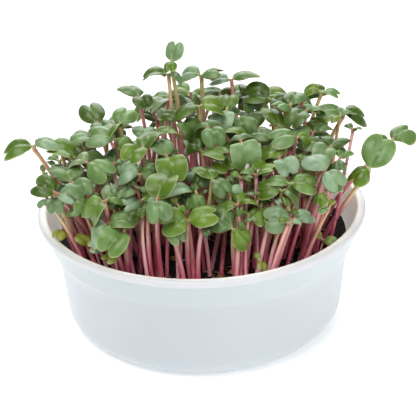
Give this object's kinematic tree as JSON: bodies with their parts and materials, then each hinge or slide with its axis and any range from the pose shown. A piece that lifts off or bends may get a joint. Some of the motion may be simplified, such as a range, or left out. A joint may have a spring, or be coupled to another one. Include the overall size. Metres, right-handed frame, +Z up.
{
  "type": "radish microgreens tray",
  "caption": "Round white tub of potting compost, densely sown with radish microgreens: pink stems that fan out over the rim and pairs of green heart-shaped seed leaves.",
  "frame": {"origin": "centre of the tub's flat base, on the surface that it stands on", "axes": "+Z up through the centre of the tub; -Y is the front, where the crown of leaves is lowest; +X is to the right seen from the front"},
  "size_m": [0.1611, 0.13, 0.1075],
  "materials": {
    "tub_plastic": "satin white moulded plastic",
    "compost": "rough, moist and crumbly",
    "stem_skin": "smooth moist plant skin, dusty pink",
    "leaf_skin": "soft satin plant skin, mid green with a pale bloom"
  },
  "bodies": {
    "root": {"tub": "tub_plastic", "soil": "compost", "stems_01": "stem_skin", "leaves_01": "leaf_skin", "stems_02": "stem_skin", "leaves_02": "leaf_skin", "stems_03": "stem_skin", "leaves_03": "leaf_skin", "stems_04": "stem_skin", "leaves_04": "leaf_skin", "stems_05": "stem_skin", "leaves_05": "leaf_skin", "stems_06": "stem_skin", "leaves_06": "leaf_skin", "stems_07": "stem_skin", "leaves_07": "leaf_skin", "stems_08": "stem_skin", "leaves_08": "leaf_skin", "stems_09": "stem_skin", "leaves_09": "leaf_skin", "stems_10": "stem_skin", "leaves_10": "leaf_skin", "stems_11": "stem_skin", "leaves_11": "leaf_skin", "stems_12": "stem_skin", "leaves_12": "leaf_skin", "stems_13": "stem_skin", "leaves_13": "leaf_skin", "stems_14": "stem_skin", "leaves_14": "leaf_skin", "stems_15": "stem_skin", "leaves_15": "leaf_skin", "stems_16": "stem_skin", "leaves_16": "leaf_skin", "stems_17": "stem_skin", "leaves_17": "leaf_skin", "stems_18": "stem_skin", "leaves_18": "leaf_skin", "stems_19": "stem_skin", "leaves_19": "leaf_skin", "stems_20": "stem_skin", "leaves_20": "leaf_skin", "stems_21": "stem_skin", "leaves_21": "leaf_skin", "stems_22": "stem_skin", "leaves_22": "leaf_skin", "stems_23": "stem_skin", "leaves_23": "leaf_skin", "stems_24": "stem_skin", "leaves_24": "leaf_skin", "stems_25": "stem_skin", "leaves_25": "leaf_skin", "stems_26": "stem_skin", "leaves_26": "leaf_skin", "stems_27": "stem_skin", "leaves_27": "leaf_skin", "stems_28": "stem_skin", "leaves_28": "leaf_skin", "stems_29": "stem_skin", "leaves_29": "leaf_skin"}
  },
  "joints": []
}
